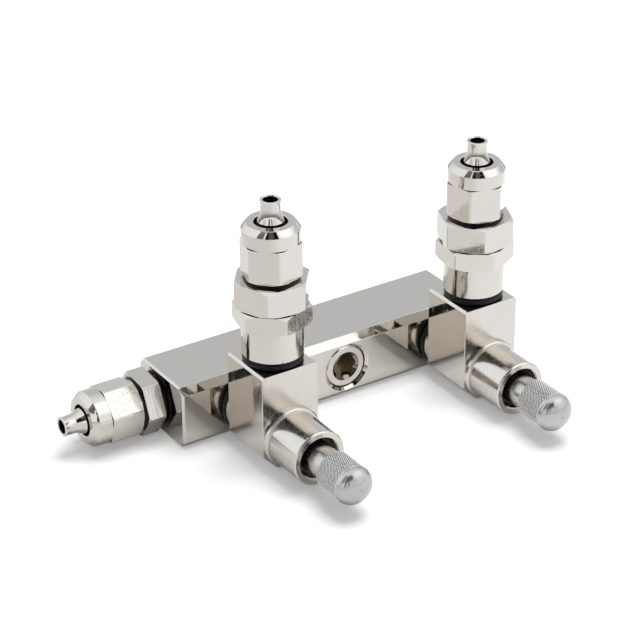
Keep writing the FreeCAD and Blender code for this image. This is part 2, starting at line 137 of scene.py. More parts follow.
class ValveSizes(PropertyGroup):
    """Sizes of the needle valves."""

    top_chamfer: length("Top chamfer", "Chamfer on the upper edges of a body", 0.46)
    bottom_chamfer: length("Bottom chamfer", "Chamfer on the lower edges of a body", 3.4)
    face_round: length("Face rounding", "Rounding of a body's other edges", 0.15)
    depth: length("Body depth", "Length of the square part of a body", 13.0)
    back_port_depth: length("Back port depth", "Depth of the port for the nipple", 3.9)
    top_port_depth: length("Top port depth", "Depth of the port for the check valve", 5.0)
    step_radius: length("Step radius", "Round step between body and barrel", 6.46)
    step_length: length("Step length", "Length of that step", 1.2)
    barrel_radius: length("Barrel radius", "Radius of the barrel round the knob", 5.85)
    barrel_edge: length("Barrel edge", "Chamfer at the barrel's mouth", 0.25)
    knob_bore: length("Knob bore", "Radius of the bore that the knob runs in", 4.36)
    knob_bore_depth: length("Knob bore depth", "Depth of that bore", 7.65)
    gland_radius: length("Gland radius", "Radius of the bore round the bush", 3.6)
    gland_depth: length("Gland depth", "How far that bore runs into the square part", 3.0)
    knob_neck: length("Knob neck", "Radius of the knob's smooth neck", 3.35)
    knurl_radius: length("Knurl radius", "Radius over the knurl", 4.1)
    knurl_length: length("Knurl length", "Length of the knurled grip", 6.6)
    knurl_height: length("Knurl height", "Height of the knurl's points", 0.11)
    knurl_count: IntProperty(name="Knurl count", description="Points round the grip", default=48, min=8)
    grip_edge: length("Grip edge", "Edge where the knurl starts", 0.15)
    nose_edge: length("Nose edge", "Radius of the bend from the grip to the nose", 2.4)
    nose_bend: turn("Nose bend", "How far round that bend goes", 56)
    nose_mark: length("Nose mark", "Radius of the centre mark on the nose", 0.3)
    spigot_radius: length("Spigot radius", "Bore of the knob round the spindle", 1.55)
    spigot_depth: length("Spigot depth", "Depth of that bore", 7.05)


class CheckValveSizes(PropertyGroup):
    """Sizes of the check valves and the inlet's hexagon."""

    flats: length("Width across flats", "Both hexagons of a check valve", 14.0)
    corner_cut: length("Corner cut", "How far hexagon corners are turned back", 0.85)
    corner_round: length("Corner rounding", "Rounding along a hexagon's corners", 0.16)
    lower_height: length("Lower hexagon", "Height of the lower hexagon", 3.9)
    barrel_radius: length("Barrel radius", "Radius of the round lower half", 6.25)
    barrel_edge: length("Barrel edge", "Chamfer on that lower half", 0.2)
    inlet_bore: length("Inlet bore", "Radius of the bore below the poppet", 1.4)
    chamber_radius: length("Chamber radius", "Radius of the poppet's chamber", 3.3)
    seat_height: length("Seat height", "Height of the poppet's seat above the body", 1.9)
    cap_stub: length("Cap stub", "Radius of the stub that screws the halves up", 4.34)
    joint_gap: length("Joint gap", "Line between the two hexagons", 0.2)
    stub_room: length("Stub room", "Room round the stub that screws the halves up", 0.06)
    groove: length("Groove", "Size of the groove under the lower hexagon", 0.16)
    inlet_flats: length("Inlet flats", "Width across the flats of the inlet", 12.0)
    inlet_corner_cut: length("Inlet corner cut", "How far the inlet's corners are turned back", 0.3)
    left_lower_turn: turn("Left lower turn", "Where a corner of the hexagon points", 18.35)
    left_upper_turn: turn("Left upper turn", "Where a corner of the hexagon points", -8.1)
    right_lower_turn: turn("Right lower turn", "Where a corner of the hexagon points", 24.5)
    right_upper_turn: turn("Right upper turn", "Where a corner of the hexagon points", 8.7)
    inlet_turn: turn("Inlet turn", "Where a corner of the hexagon points", 24.0)


class HoseEndSizes(PropertyGroup):
    """Sizes of the threads, barbs and hose nuts."""

    thread_radius: length("Thread radius", "Outside radius of the hose thread", 4.88)
    thread_pitch: length("Thread pitch", "Distance from one turn to the next", 1.0)
    thread_height: length("Thread height", "Depth of the thread", 0.45)
    thread_length: length("Thread length", "From the hexagon's face to the thread's end", 7.54)
    post_radius: length("Post radius", "Radius of the post that the tube goes over", 1.95)
    undercut: length("Undercut", "Height where the barb's cone starts", 11.4)
    crest: length("Crest", "Height of the barb's widest place", 12.05)
    straight: length("Straight", "Height where the barb's straight tip starts", 13.9)
    tip: length("Tip", "Height of the barb's end", 16.5)
    crest_radius: length("Crest radius", "Widest radius of the barb", 2.68)
    barb_radius: length("Barb radius", "Radius of the barb's straight tip", 2.0)
    lip_radius: length("Lip radius", "Radius of the rim at the barb's end", 2.09)
    lip_height: length("Lip height", "Height of that rim", 0.45)
    lip_rise: length("Lip rise", "Length of the slope up to that rim", 0.2)
    barb_edge: length("Barb edge", "Rounding of the barb's end", 0.12)
    bore_radius: length("Bore radius", "Radius of the bore through the barb", 1.5)
    nut_flats: length("Nut flats", "Width across the flats of a nut", 11.0)
    nut_corner: length("Nut corner", "Radius over the rounded corners", 6.2)
    nut_hex_height: length("Nut hexagon", "Height of the nut's flats", 7.35)
    nut_band_radius: length("Nut band radius", "Radius of the plain band", 5.85)
    nut_band_height: length("Nut band height", "Height of the plain band", 2.75)
    nut_top_radius: length("Nut top radius", "Outside radius of the nut's top face", 4.85)
    nut_hole: length("Nut hole", "Radius of the hole for the tube", 3.35)
    nut_thread_depth: length("Nut thread depth", "Depth of the thread in the nut", 7.75)
    nut_cone: length("Nut cone", "Height of the cone that grips the tube", 1.9)
    nut_corner_cut: length("Nut corner cut", "How far the corners are turned back at the foot", 0.55)
    nut_groove: length("Nut groove", "Width of the line between the flats and the band", 0.14)
    nut_edge: length("Nut edge", "Rounding of the six flats' edges", 0.07)
    nut_band_edge: length("Band edge", "Rounding of the band's edges", 0.05)
    nut_hole_edge: length("Hole edge", "Chamfer on the hole for the tube", 0.1)
    thread_room: length("Thread room", "Room between a nut and its thread", 0.05)
    left_nut_turn: turn("Left nut turn", "Where a corner of the nut points", 15.0)
    right_nut_turn: turn("Right nut turn", "Where a corner of the nut points", -17.0)
    inlet_nut_turn: turn("Inlet nut turn", "Where a corner of the nut points", 43.9)


class Finishes(PropertyGroup):
    """Colours of the finishes."""

    nickel: colour("Nickel", "Bright nickel plate", "#D0C9C0")
    warm_nickel: colour("Warm nickel", "Nickel plate where the brass tints it", "#CCC3B7")
    aluminium: colour("Aluminium", "Satin anodised aluminium", "#B5B1AC")
    worn_aluminium: colour("Worn aluminium", "The same where fingers polish it", "#BDB9B4")
    turned_aluminium: colour("Turned aluminium", "Aluminium left as it was turned", "#CEC9C3")
    dull_aluminium: colour("Dull aluminium", "The same in the tool lines", "#B4AFA9")
    # Knurl colours: the points are rubbed bright, partly as a painted highlight, and the grooves are
    # darkened as painted shade
    rubbed_and_highlit_aluminium: colour("Knurl point", "Aluminium rubbed bright on the knurl's points", "#EFEBE5")
    painted_groove_shade_aluminium: colour("Knurl groove", "Aluminium deep in the knurl", "#65615C")
    rubber: colour("Rubber", "Black nitrile rubber", "#090909")
    dusty_rubber: colour("Dusty rubber", "The same with a film of dust", "#121110")
    # Browner, darker nickel used only inside the plug's socket, the second colour in its tool lines
    darker_socket_nickel: colour("Oily nickel", "Nickel plate with oil and dust in it", "#B0A493")
    socket_tool_line_nickel: colour("Dark nickel", "The same in the corners", "#5F5446")
    brass: colour("Brass", "Bare turned brass", "#C9A765")
    dull_brass: colour("Dull brass", "Brass that has begun to tarnish", "#A98A52")
    steel: colour("Steel", "Stainless spring steel", "#C0C0BF")
    dull_steel: colour("Dull steel", "The same in the grooves", "#9C9B99")
    floor: colour("Floor", "White paper sweep", "#F8F9FA")
    floor_fibre: colour("Floor fibre", "The paper's fibres", "#F4F5F6")


class StageSettings(PropertyGroup):
    """Camera, floor and light."""

    camera_place: FloatVectorProperty(
        name="Camera place", description="Where the camera stands", subtype="TRANSLATION", unit="LENGTH",
        default=(-240.53 * MM, -374.90 * MM, 256.65 * MM), precision=5)
    camera_target: FloatVectorProperty(
        name="Camera target", description="Point in the middle of the picture", subtype="TRANSLATION",
        unit="LENGTH", default=(-4.983 * MM, -11.994 * MM, 22.175 * MM), precision=5)
    camera_roll: turn("Camera roll", "Turn of the camera about its own line of sight", -0.342)
    focal_length: FloatProperty(name="Focal length", description="Camera lens, on a 36 mm sensor",
                                default=136.262, unit="CAMERA")
    floor_size: length("Floor size", "Width of the white floor", 3000)
    floor_drop: length("Floor drop", "Air left under the block", 0.02)
    lamp_place: FloatVectorProperty(
        name="Lamp place", description="Where the soft box hangs", subtype="TRANSLATION", unit="LENGTH",
        default=(130 * MM, 10 * MM, 750 * MM), precision=5)
    lamp_size: length("Lamp size", "Width of the soft box", 500)
    lamp_power: FloatProperty(name="Lamp power", description="Power of the soft box", default=4.5,
                              unit="POWER")


# Small steps that every piece shares


def start_piece():
    """Leave edit mode and select nothing."""
    if bpy.context.mode != "OBJECT":
        bpy.ops.object.mode_set(mode="OBJECT")
    bpy.ops.object.select_all(action="DESELECT")


def make_active(piece):
    """Select one object and make it the one that operators act on."""
    start_piece()
    piece.select_set(True)
    bpy.context.view_layer.objects.active = piece


def fix_place(piece):
    """Put the object's place and turn into its mesh."""
    make_active(piece)
    bpy.ops.object.transform_apply(location=True, rotation=True, scale=True)


def box(low, high):
    """Box between two corners."""
    start_piece()
    bpy.ops.mesh.primitive_cube_add(size=1, location=(low + high) / 2)
    piece = bpy.context.object
    piece.scale = high - low
    fix_place(piece)
    return piece


def add_ring(sides, radius, height, start_turn=0.0):
    """Open ring about Z, in edit mode with all of it selected."""
    start_piece()
    bpy.ops.mesh.primitive_circle_add(vertices=sides, radius=radius, location=(0, 0, height),
                                      rotation=(0, 0, start_turn))
    piece = bpy.context.object
    fix_place(piece)
    bpy.ops.object.mode_set(mode="EDIT")
    bpy.ops.mesh.select_mode(type="EDGE")
    bpy.ops.mesh.select_all(action="SELECT")
    return piece


def follow(outline):
    """Extrude the selected ring through (radius, height) corners."""
    for (r0, z0), (r1, z1) in zip(outline, outline[1:]):
        bpy.ops.mesh.extrude_region_move(TRANSFORM_OT_translate={"value": (0, 0, z1 - z0)})
        if r1 != r0:
            bpy.ops.transform.resize(value=(r1 / r0, r1 / r0, 1), center_override=(0, 0, z1))


def close_mesh():
    """Fill open ends, merge doubles, and point the faces outwards."""
    bpy.ops.mesh.select_all(action="SELECT")
    bpy.ops.mesh.remove_doubles(threshold=SAME_PLACE)
    bpy.ops.mesh.select_all(action="DESELECT")
    bpy.ops.mesh.select_non_manifold(extend=False, use_wire=False, use_boundary=True,
                                     use_multi_face=False, use_non_contiguous=False, use_verts=False)
    bpy.ops.mesh.edge_face_add()
    bpy.ops.mesh.select_all(action="SELECT")
    bpy.ops.mesh.normals_make_consistent(inside=False)
    bpy.ops.object.mode_set(mode="OBJECT")


def turned(outline, sides=ROUND):
    """Solid turned about Z from (radius, height) corners, with flat ends."""
    piece = add_ring(sides, *outline[0])
    follow(outline)
    bpy.ops.mesh.edge_face_add()
    close_mesh()
    return piece


def turned_sleeve(outline, sides=ROUND):
    """Ring turned about Z from a closed outline."""
    piece = add_ring(sides, *outline[0])
    follow(outline + outline[:1])
    close_mesh()
    return piece


def select_parts(piece, kind, wanted):
    """Select the edges or the faces of a piece for which a test holds."""
    bpy.ops.object.mode_set(mode="EDIT")
    bpy.ops.mesh.select_mode(type=kind)
    bpy.ops.mesh.select_all(action="DESELECT")
    bpy.ops.object.mode_set(mode="OBJECT")
    for part in piece.data.edges if kind == "EDGE" else piece.data.polygons:
        part.select = wanted(part)
    bpy.ops.object.mode_set(mode="EDIT")


def select_edges(piece, wanted):
    """Select the edges for which a test of their two ends holds."""
    select_parts(piece, "EDGE", lambda edge: wanted(*(piece.data.vertices[i].co for i in edge.vertices)))


def bevel_edges(piece, wanted, width, steps=1):
    """Bevel the edges for which a test of their two ends holds."""
    select_edges(piece, wanted)
    bpy.ops.mesh.bevel(offset=width, segments=steps, affect="EDGES")
    bpy.ops.object.mode_set(mode="OBJECT")


def hexagon_bar(flats, start, end, corner_turn, corner_round):
    """Hexagonal bar about Z with softened corners, one of them at an angle."""
    start_piece()
    bpy.ops.mesh.primitive_cylinder_add(
        vertices=6, radius=flats / 2 / math.cos(HALF_CORNER), depth=end - start,
        location=(0, 0, (start + end) / 2), rotation=(0, 0, corner_turn - HALF_CORNER))
    piece = bpy.context.object
    fix_place(piece)
    if corner_round:
        bevel_edges(piece, lambda a, b: abs(a.z - b.z) > (end - start) / 2, corner_round, 3)
    return piece


def turned_back_hexagon(flats, start, end, corner_turn, corner_cut, corner_round):
    """Hexagonal bar whose corners are turned back at both ends."""
    crest = flats / 2 / math.cos(HALF_CORNER)
    edge = crest - corner_cut
    rise = corner_cut * math.tan(HALF_CORNER)
    envelope = turned([(edge, start), (crest, start + rise), (crest, end - rise), (edge, end)],
                      HEXAGON_ROUND)
    bar = hexagon_bar(flats, start - corner_cut, end + corner_cut, corner_turn, corner_round)
    return combine(bar, envelope, "INTERSECT")


def combine(piece, tool, operation):
    """Join, cut or keep the common part of two solids, and drop the tool."""
    make_active(piece)
    bpy.ops.object.modifier_add(type="BOOLEAN")
    modifier = piece.modifiers[-1]
    modifier.operation = operation
    modifier.object = tool
    modifier.solver = "EXACT"
    bpy.ops.object.modifier_apply(modifier=modifier.name)
    bpy.data.objects.remove(tool)
    return piece


def round_edges(piece, width, steps=2, sharper_than=25):
    """Round all edges that are sharper than an angle in degrees."""
    make_active(piece)
    bpy.ops.object.modifier_add(type="BEVEL")
    modifier = piece.modifiers[-1]
    modifier.limit_method = "ANGLE"
    modifier.angle_limit = math.radians(sharper_than)
    modifier.width = width
    modifier.segments = steps
    modifier.use_clamp_overlap = True
    bpy.ops.object.modifier_apply(modifier=modifier.name)
    return piece


def smooth(piece, sharper_than=28):
    """Shade smoothly up to an angle, with large faces kept flat."""
    make_active(piece)
    bpy.ops.object.shade_smooth_by_angle(angle=math.radians(sharper_than))
    bpy.ops.object.modifier_add(type="WEIGHTED_NORMAL")
    modifier = piece.modifiers[-1]
    modifier.keep_sharp = True
    modifier.weight = 90
    bpy.ops.object.modifier_apply(modifier=modifier.name)


def fit(piece, name, place, node, material, second=None, wanted=None):
    """Name a finished piece, put it in place, and let it stand for its CAD node.

    Faces that pass a test of their middle height and widest corner get the second finish.
    """
    smooth(piece)
    points = piece.data.vertices
    chosen = [wanted(face.center.z, max(math.hypot(*points[i].co.xy) for i in face.vertices))
              for face in piece.data.polygons] if second else []
    piece.matrix_world = place
    fix_place(piece)
    piece.name = name
    piece.data.name = name
    piece.data.materials.clear()
    piece.data.materials.append(material)
    if second:
        piece.data.materials.append(second)
        piece.data.polygons.foreach_set("material_index", chosen)
    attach(piece, frame["nodes"][node]["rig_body"])
    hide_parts(node)


def dress(node, material):
    """Give a CAD node its finish."""
    for holder in frame["nodes"][node].material_slots:
        holder.material = material


# Places worked out from the frame


def middle(node, axis):
    """Middle of a CAD node along one axis."""
    low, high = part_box(node)
    return (low[axis] + high[axis]) / 2


def on_front(node):
    """Place whose Z runs forward from the block's front face, in line with a node."""
    front_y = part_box("manifold_block")[0].y
    return (Matrix.Translation((middle(node, 0), front_y, middle("manifold_block", 2)))
            @ Matrix.Rotation(math.radians(90), 4, "X"))


def on_body(side):
    """Place whose Z runs up from the top face of a valve body, on its outlet."""
    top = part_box(side + "_valve_body")[1].z
    return Matrix.Translation((middle(side + "_valve_body", 0), middle(side + "_check_seal", 1), top))


def on_left_end():
    """Place whose Z runs left from the block's end face, on the inlet."""
    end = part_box("manifold_block")[0].x
    return (Matrix.Translation((end, middle("inlet_seal", 1), middle("manifold_block", 2)))
            @ Matrix.Rotation(math.radians(-90), 4, "Y"))


def reach(node, place):
    """Where a CAD node starts and ends along the Z of a place."""
    back = place.inverted()
    return sorted((back @ corner).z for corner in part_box(node))


# Finishes


# Sockets of a Mix node that mixes colours: the share of the second colour, and the two colours
SHARE, FIRST, SECOND = 0, 6, 7


def feed(tree, node, inputs):
    """Give a node's inputs their values, or link them to a socket or to a node's result."""
    for name, value in inputs.items():
        if isinstance(value, bpy.types.Node):
            value = next(output for output in value.outputs if output.enabled)
        if isinstance(value, bpy.types.NodeSocket):
            tree.links.new(value, node.inputs[name])
        else:
            node.inputs[name].default_value = value


def add_node(tree, kind, inputs, stops=(), **settings):
    """Add a node, set its properties and stops, and fill or link its inputs.

    Stops are (degrees, grey level) on a colour ramp that runs from -180 to 180 degrees.
    """
    node = tree.nodes.new(kind)
    for name, value in settings.items():
        setattr(node, name, value)
    for _ in stops[2:]:
        node.color_ramp.elements.new(0.5)
    for i, (degrees, level) in enumerate(stops):
        node.color_ramp.elements[i].position = (degrees + 180) / 360
        node.color_ramp.elements[i].color = (level, level, level, 1)
    feed(tree, node, inputs)
    return node


def new_material(name):
    """Material with a shader, and its object coordinates."""
    material = bpy.data.materials.new(name)
    material.use_nodes = True
    tree = material.node_tree
    place = add_node(tree, "ShaderNodeTexCoord", {}).outputs["Object"]
    return material, tree, tree.nodes["Principled BSDF"], place


def grain(tree, place, size, stretch=(1, 1, 1), detail=3.0):
    """Pattern whose features are a given size, pulled out along an axis."""
    pulled = add_node(tree, "ShaderNodeMapping", {"Vector": place, "Scale": stretch})
    return add_node(tree, "ShaderNodeTexNoise", {"Vector": pulled, "Scale": 1 / size, "Detail": detail})


def hairlines(tree, place, size, direction):
    """Pattern that is 1 on sparse thin scratches that run roughly one way."""
    leaning = add_node(tree, "ShaderNodeMapping", {
        "Vector": place, "Rotation": direction, "Scale": (1, 1, 0.03)})
    cells = add_node(tree, "ShaderNodeTexVoronoi", {"Vector": leaning, "Scale": 1 / size},
                     feature="DISTANCE_TO_EDGE")
    thin = add_node(tree, "ShaderNodeMapRange", {
        "Value": cells, "From Min": 0.012, "From Max": 0.03, "To Min": 1.0, "To Max": 0.0})
    patches = add_node(tree, "ShaderNodeMapRange", {
        "Value": grain(tree, place, 2.2 * MM), "From Min": 0.5, "From Max": 0.6})
    return add_node(tree, "ShaderNodeMath", {0: thin, 1: patches}, operation="MULTIPLY")


def relief(tree, shader, layers):
    """Stack (pattern, height) layers of fine relief on the shader's normal."""
    normal = {}
    for pattern, height in layers:
        raised = add_node(tree, "ShaderNodeBump", {**normal, "Height": pattern, "Distance": height})
        normal = {"Normal": raised}
    feed(tree, shader, normal)


def nickel_plate(name, finishes, haze, ripple, dents, cut):
    """Bright nickel plate on brass: a warm mirror that still shows how the metal was cut.

    The eye sees sharp reflections, faint tool lines, hairline scratches and small dents.
    """
    material, tree, shader, place = new_material(name)
    tint = add_node(tree, "ShaderNodeMix", {
        SHARE: grain(tree, place, 5 * MM), FIRST: finishes.nickel, SECOND: finishes.warm_nickel},
        data_type="RGBA")
    tool_lines = grain(tree, place, 0.35 * MM, cut, 4.0)
    scratches = hairlines(tree, place, 0.9 * MM, (0.5, 0.9, 0.2))
    # The plate is duller in tool lines and scratches
    lined = add_node(tree, "ShaderNodeMapRange", {
        "Value": tool_lines, "From Min": 0.3, "From Max": 0.7, "To Min": 0.5 * haze, "To Max": 1.5 * haze})
    scratched = add_node(tree, "ShaderNodeMath", {0: scratches, 1: 0.2, 2: lined}, operation="MULTIPLY_ADD")
    feed(tree, shader, {"Base Color": tint, "Roughness": scratched, "Metallic": 1.0})
    pits = add_node(tree, "ShaderNodeMapRange", {
        "Value": grain(tree, place, 0.6 * MM, detail=1.0), "From Min": 0.27, "From Max": 0.33})
    relief(tree, shader, [(grain(tree, place, 4 * MM, detail=1.0), ripple * MM), (tool_lines, 0.0005 * MM),
                          (scratches, 0.0015 * MM), (pits, dents * MM)])
    return material


def satin_aluminium(name, finishes):
    """Aluminium, turned, etched and anodised: a soft grey gloss with faint turning rings.

    The knurl's points are rubbed bright, partly as a painted highlight, and its grooves get painted shade.
    """
    material, tree, shader, place = new_material(name)
    patches = add_node(tree, "ShaderNodeMapRange", {
        "Value": grain(tree, place, 2.5 * MM), "From Min": 0.35, "From Max": 0.7})
    knurl = add_node(tree, "ShaderNodeAttribute", {}, attribute_name="knurl").outputs["Fac"]
    # Painted highlight, partly real rubbing, on the knurl's points, and painted shade in its grooves
    rubbed_and_highlit_points = add_node(tree, "ShaderNodeMapRange", {"Value": knurl, "From Max": 0.5})
    painted_groove_shade = add_node(tree, "ShaderNodeMapRange", {"Value": knurl, "From Min": 0.76, "From Max": 0.9})
    tint = finishes.aluminium
    for share, other in ((patches, finishes.worn_aluminium), (rubbed_and_highlit_points, finishes.rubbed_and_highlit_aluminium),
                         (painted_groove_shade, finishes.painted_groove_shade_aluminium)):
        tint = add_node(tree, "ShaderNodeMix", {SHARE: share, FIRST: tint, SECOND: other}, data_type="RGBA")
    satin = add_node(tree, "ShaderNodeMapRange", {"Value": patches, "To Min": 0.19, "To Max": 0.23})
    feed(tree, shader, {"Base Color": tint, "Roughness": satin, "Metallic": 0.85})
    rings = grain(tree, place, 0.25 * MM, (0.05, 1, 0.05), 2.0)
    relief(tree, shader, [(rings, 0.002 * MM), (grain(tree, place, 0.08 * MM), 0.002 * MM)])
    return material


def black_rubber(name, finishes):
    """Nitrile rubber, moulded: nearly black, softly glossy, with a little dust."""
    material, tree, shader, place = new_material(name)
    dust = add_node(tree, "ShaderNodeMapRange", {
        "Value": grain(tree, place, 0.8 * MM, detail=5.0), "From Min": 0.45, "From Max": 0.75})
    tint = add_node(tree, "ShaderNodeMix", {
        SHARE: dust, FIRST: finishes.rubber, SECOND: finishes.dusty_rubber}, data_type="RGBA")
    gloss = add_node(tree, "ShaderNodeMapRange", {"Value": dust, "To Min": 0.3, "To Max": 0.45})
    feed(tree, shader, {"Base Color": tint, "Roughness": gloss, "Specular IOR Level": 0.2})
    relief(tree, shader, [(grain(tree, place, 0.3 * MM), 0.004 * MM)])
    return material


def bare_metal(name, bright, dull, roughness):
    """Turned metal left bare: bright on the lands and duller in the tool lines."""
    material, tree, shader, place = new_material(name)
    lines = grain(tree, place, 0.3 * MM, detail=4.0)
    tint = add_node(tree, "ShaderNodeMix", {SHARE: lines, FIRST: bright, SECOND: dull}, data_type="RGBA")
    worn = add_node(tree, "ShaderNodeMapRange", {
        "Value": lines, "From Min": 0.3, "From Max": 0.7, "To Min": roughness, "To Max": roughness * 1.5})
    feed(tree, shader, {"Base Color": tint, "Roughness": worn, "Metallic": 1.0})
    relief(tree, shader, [(lines, 0.002 * MM)])
    return material


# Nickel plate by how the brass under it was made: its roughness, the heights of its ripple and
# its dents in mm, and the tool lines' scale along X, Y and Z, where a small one pulls them out
NICKEL_PLATES = {
    # A drawn bar, polished crosswise: nearly a mirror, with faint lines across it
    "nickel_on_drawn_bar": (0.05, 0.0016, 0.002, (1, 0.04, 0.04)),
    # Milled flats: nearly a mirror, with faint lines from back to front
    "nickel_on_milled_body": (0.06, 0.002, 0.002, (1, 0.04, 1)),
    # A turned barrel: reflections smeared by the rings left on it
    "nickel_on_turned_barrel": (0.15, 0.003, 0.004, (0.05, 1, 0.05)),
    # Turned and milled bright: sharp reflections, with fine level rings
    "nickel_on_turned_stack": (0.05, 0.002, 0.002, (0.05, 0.05, 1)),
    # The same with more knocks
    "nickel_on_turned_inlet": (0.055, 0.003, 0.008, (1, 0.05, 0.05)),
    # A hexagon scratched by spanners: dull and streaky
    "nickel_on_scratched_hexagon": (0.22, 0.005, 0.01, (1, 0.05, 0.05)),
}


def finish(name):
    """One of the finishes, made when it is first asked for."""
    made = bpy.data.materials.get(name)
    if made:
        return made
    finishes = bpy.context.scene.manifold_finishes
    if name in NICKEL_PLATES:
        return nickel_plate(name, finishes, *NICKEL_PLATES[name])
    if name == "satin_anodised_aluminium":
        return satin_aluminium(name, finishes)
    if name == "black_nitrile_rubber":
        return black_rubber(name, finishes)
    bare_metals = {
        # Aluminium as turned: a light grey gleam with fine rings
        "bare_turned_aluminium": (finishes.turned_aluminium, finishes.dull_aluminium, 0.2),
        # Brass as turned: a warm yellow gleam
        "bare_turned_brass": (finishes.brass, finishes.dull_brass, 0.2),
        # Nickel inside the plug's socket: brown, darker and glossy
        "darker_socket_nickel": (finishes.darker_socket_nickel, finishes.socket_tool_line_nickel, 0.1),
        # Drawn stainless wire and ground stems: a cool grey gleam
        "stainless_spring_steel": (finishes.steel, finishes.dull_steel, 0.22),
    }
    return bare_metal(name, *bare_metals[name])


# Block, plug and nipples


def cut_port(piece, place, sizes, depth):
    """Cut a screwed port, its mouth at the place and the hole running down its Z."""
    radius, mouth = sizes.port_radius, sizes.port_mouth
    tool = turned([(radius, -depth), (radius, radius - mouth), (mouth, 0), (mouth + OVERRUN, OVERRUN)])
    tool.matrix_world = place
    fix_place(tool)
    combine(piece, tool, "DIFFERENCE")


class MANIFOLD_OT_block(Operator):
    """Square-edged bar with its chamfers, front ports and end port"""

    bl_idname = "manifold.block"
    bl_label = "Manifold block"

    def execute(self, context):
        sizes = context.scene.manifold_block
        bar = box(*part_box("manifold_block"))
        bevel_edges(bar, lambda a, b: abs(a.x - b.x) > SAME_PLACE, sizes.long_chamfer)
        bevel_edges(bar, lambda a, b: abs(a.x - b.x) < SAME_PLACE, sizes.end_chamfer)
        round_edges(bar, sizes.edge_round)
        for node in ("left_valve_body", "port_plug", "right_valve_body"):
            cut_port(bar, on_front(node), sizes, sizes.port_depth)
        cut_port(bar, on_left_end(), sizes, sizes.port_depth)
        fit(bar, "block", Matrix(), "manifold_block", finish("nickel_on_drawn_bar"))
        return {"FINISHED"}


class MANIFOLD_OT_port_plug(Operator):
    """Screwed plug with a hexagon socket, sunk in the middle port"""

    bl_idname = "manifold.port_plug"
    bl_label = "Port plug"

    def execute(self, context):
        sizes = context.scene.manifold_block
        place = on_front("port_plug")
        inner, face = reach("port_plug", place)
        edge, radius = sizes.plug_edge, sizes.stub_radius
        plug = turned([(radius - edge, inner), (radius, inner + edge), (radius, face - edge),
                       (radius - edge, face)])
        round_edges(plug, sizes.edge_round)
        entry_depth = sizes.plug_entry - sizes.plug_socket / 2
        entry = turned([(sizes.plug_socket / 2, face - entry_depth), (sizes.plug_entry, face),
                        (sizes.plug_entry + entry_depth, face + entry_depth)])
        combine(plug, entry, "DIFFERENCE")
        socket = hexagon_bar(sizes.plug_socket, face - sizes.plug_socket_depth, face + OVERRUN, 0.0, 0.0)
        combine(plug, socket, "DIFFERENCE")
        fit(plug, "plug", place, "port_plug", finish("nickel_on_milled_body"),
            finish("darker_socket_nickel"),
            lambda height, rim: rim < sizes.plug_entry + ABOUT and inner + MM < height)
        return {"FINISHED"}


class MANIFOLD_OT_nipples(Operator):
    """Screwed nipples between the block and the valve bodies"""

    bl_idname = "manifold.nipples"
    bl_label = "Valve nipples"

    def execute(self, context):
        sizes = context.scene.manifold_block
        for side in SIDES:
            node = side + "_valve_nipple"
            place = on_front(node)
            start, end = reach(node, place)
            collar_start = reach(side + "_nipple_seal", place)[1]
            collar_end = reach(side + "_valve_body", place)[0]
            collar = (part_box(node)[1].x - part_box(node)[0].x) / 2
            bore, stub, edge = sizes.nipple_bore, sizes.stub_radius, sizes.nipple_edge
            nipple = turned_sleeve([
                (bore, start), (stub, start), (stub, 0), (sizes.neck_radius, 0),
                (sizes.neck_radius, collar_start), (collar - edge, collar_start),
                (collar, collar_start + edge), (collar, collar_end - edge), (collar - edge, collar_end),
                (stub, collar_end), (stub, end), (bore, end)])
            fit(nipple, side + "_nipple", place, node, finish("nickel_on_milled_body"))
        return {"FINISHED"}


# Needle valves


class MANIFOLD_OT_valve_bodies(Operator):
    """Square valve bodies with their barrels, ports and bores"""

    bl_idname = "manifold.valve_bodies"
    bl_label = "Valve bodies"

    def execute(self, context):
        for side in SIDES:
            self.make_body(context, side)
        return {"FINISHED"}

    def make_body(self, context, side):
        """One valve body, in the frame of its port."""
        sizes = context.scene.manifold_valve
        ports = context.scene.manifold_block
        node = side + "_valve_body"
        place = on_front(node)
        back, front = reach(node, place)
        low, high = (place.inverted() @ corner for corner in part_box(node))
        half, bottom, top = abs(low.x), min(low.y, high.y), max(low.y, high.y)
        shoulder = back + sizes.depth
        body = box(Vector((-half, bottom, back)), Vector((half, top, shoulder)))
        for height, chamfer in ((bottom, sizes.bottom_chamfer), (top, sizes.top_chamfer)):
            bevel_edges(body, lambda a, b: abs(a.z - b.z) > MM and abs(a.y - height) < SAME_PLACE, chamfer)
        round_edges(body, sizes.face_round)
        step, barrel, edge = sizes.step_radius, sizes.barrel_radius, sizes.barrel_edge
        step_end = shoulder + sizes.step_length
        tube = turned([(step, shoulder - OVERRUN), (step, step_end - edge), (step - edge, step_end),
                       (barrel, step_end), (barrel, front - edge), (barrel - edge, front)], LARGE_ROUND)
        round_edges(tube, sizes.barrel_edge / 4)
        combine(body, tube, "UNION")
        gland, knob_bore, bore_end = sizes.gland_radius, sizes.knob_bore, front - sizes.knob_bore_depth
        bore = turned([(gland, shoulder - sizes.gland_depth), (gland, bore_end), (knob_bore, bore_end),
                       (knob_bore, front - edge), (knob_bore + edge, front),
                       (knob_bore + 2 * edge, front + edge)], LARGE_ROUND)
        combine(body, bore, "DIFFERENCE")
        back_port = turned([(ports.port_radius, back - OVERRUN),
                            (ports.port_radius, back + sizes.back_port_depth)])
        combine(body, back_port, "DIFFERENCE")
        outlet = sum(reach(side + "_check_seal", place)) / 2
        upward = Matrix.Rotation(math.radians(-90), 4, "X")
        cut_port(body, Matrix.Translation((0, top, outlet)) @ upward, ports, sizes.top_port_depth)
        fit(body, side + "_body", place, node, finish("nickel_on_milled_body"),
            finish("nickel_on_turned_barrel"), lambda height, rim: height > shoulder - SAME_PLACE)


